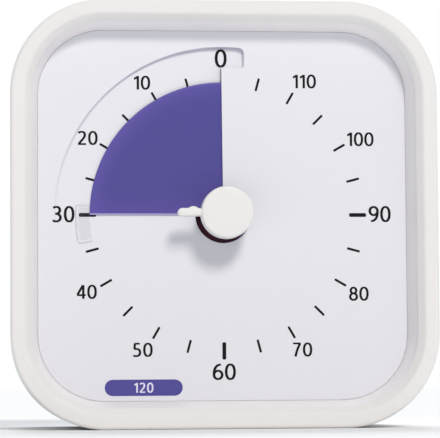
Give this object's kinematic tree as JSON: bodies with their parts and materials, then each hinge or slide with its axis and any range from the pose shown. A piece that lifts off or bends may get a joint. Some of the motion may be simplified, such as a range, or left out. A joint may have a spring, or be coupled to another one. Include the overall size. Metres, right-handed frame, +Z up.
{
  "type": "visual countdown timer",
  "caption": "Square desk countdown timer in a soft sleeve, with a coloured disc that winds into the dial, a centre knob, and a quartz drive.",
  "frame": {"origin": "centre of the base, where the sleeve stands on the table, halfway between the knob's front and the back", "axes": "+Z up, -Y out of the dial towards the reader, +X to the reader's right"},
  "size_m": [0.089, 0.0572, 0.089],
  "materials": {
    "silicone": "matt",
    "white_plastic": "satin",
    "knob_plastic": "satin",
    "disc_film": "satin",
    "clear_film": "clear",
    "plum_plastic": "satin",
    "black_plastic": "matt",
    "gear_plastic": "satin",
    "plate_plastic": "satin",
    "steel": "plain",
    "spring_steel": "nickel plated",
    "brass": "plain",
    "rubber": "matt",
    "iron": "sheet lamination",
    "magnet": "sintered",
    "copper": "enamelled wire",
    "green_board": "solder mask",
    "cone_film": "formed film",
    "cell_wrap": "printed film",
    "red_wire": "pvc",
    "black_wire": "pvc",
    "yellow_wire": "pvc"
  },
  "bodies": {
    "case": {"front_housing": "white_plastic", "dial_plate": "white_plastic", "back_cover": "white_plastic", "case_screws": "steel", "chassis_plate": "plate_plastic", "chassis_screws": "steel", "bushing_nut": "brass", "rubber_washer": "rubber", "movement_front": "black_plastic", "movement_back": "black_plastic", "stator": "iron", "coil_core": "iron", "coil_bobbin": "black_plastic", "coil_winding": "copper", "circuit_board": "green_board", "control_chip": "black_plastic", "quartz_crystal": "steel", "contact_block": "black_plastic", "zero_contacts": "brass", "speaker_frame": "black_plastic", "speaker_cone": "cone_film", "speaker_magnet": "magnet", "speaker_clamp": "steel", "speaker_screws": "steel", "sound_board": "green_board", "board_screws": "steel", "switch_body": "steel", "positive_contact": "spring_steel", "negative_spring": "spring_steel", "battery_wires": "red_wire", "speaker_wires": "black_wire", "signal_wires": "yellow_wire"},
    "sleeve": {"silicone_sleeve": "silicone"},
    "setting_knob": {"knob": "knob_plastic", "spindle": "steel", "clutch_spring": "brass", "retaining_ring": "steel", "zero_cam": "gear_plastic"},
    "disc": {"time_disc": "disc_film", "disc_tab": "clear_film", "disc_hub": "plum_plastic"},
    "output_gear": {"output_wheel": "gear_plastic"},
    "third_gear": {"third_wheel": "gear_plastic"},
    "second_gear": {"second_wheel": "gear_plastic"},
    "rotor": {"rotor_pinion": "gear_plastic", "rotor_magnet": "magnet"},
    "switch_slider": {"sound_slider": "black_plastic"},
    "door": {"battery_door": "white_plastic", "door_screw": "steel"},
    "battery": {"battery_cell": "cell_wrap"}
  },
  "joints": [
    {"name": "sleeve_pull", "type": "slide", "parent": "case", "child": "sleeve", "axis": [0, -1, 0], "range_m": [0, 0.06]},
    {"name": "knob_turn", "type": "hinge", "parent": "case", "child": "setting_knob", "pos_m": [0, -0.01972, 0.0445], "axis": [0, -1, 0], "range_deg": [-90, 270]},
    {"name": "disc_wind", "type": "slide", "parent": "setting_knob", "child": "disc", "axis": [0, -1, 0], "range_m": [-0.00066, 0.00196]},
    {"name": "second_turn", "type": "hinge", "parent": "case", "child": "second_gear", "pos_m": [-0.0111, -0.00773, 0.05336], "axis": [0, -1, 0], "continuous": true},
    {"name": "third_turn", "type": "hinge", "parent": "case", "child": "third_gear", "pos_m": [-0.01353, -0.00773, 0.03957], "axis": [0, -1, 0], "continuous": true},
    {"name": "output_turn", "type": "hinge", "parent": "case", "child": "output_gear", "pos_m": [0, -0.00773, 0.0445], "axis": [0, -1, 0], "continuous": true},
    {"name": "rotor_turn", "type": "hinge", "parent": "case", "child": "rotor", "pos_m": [0.00206, -0.00773, 0.05815], "axis": [0, -1, 0], "continuous": true},
    {"name": "sound_switch", "type": "slide", "parent": "case", "child": "switch_slider", "axis": [1, 0, 0], "range_m": [0, 0.004]},
    {"name": "door_off", "type": "slide", "parent": "case", "child": "door", "axis": [0, 1, 0], "range_m": [0, 0.03]},
    {"name": "battery_out", "type": "slide", "parent": "case", "child": "battery", "axis": [0, 1, 0], "range_m": [0, 0.0181]}
  ],
  "couplings": [
    {"joint": "disc_wind", "follows": "knob_turn", "m_per_rad": 0.0004138},
    {"joint": "third_turn", "follows": "second_turn", "ratio": -0.16667},
    {"joint": "output_turn", "follows": "second_turn", "ratio": 0.033333},
    {"joint": "rotor_turn", "follows": "second_turn", "ratio": -6},
    {"joint": "battery_out", "follows": "door_off", "ratio": 0.6}
  ]
}
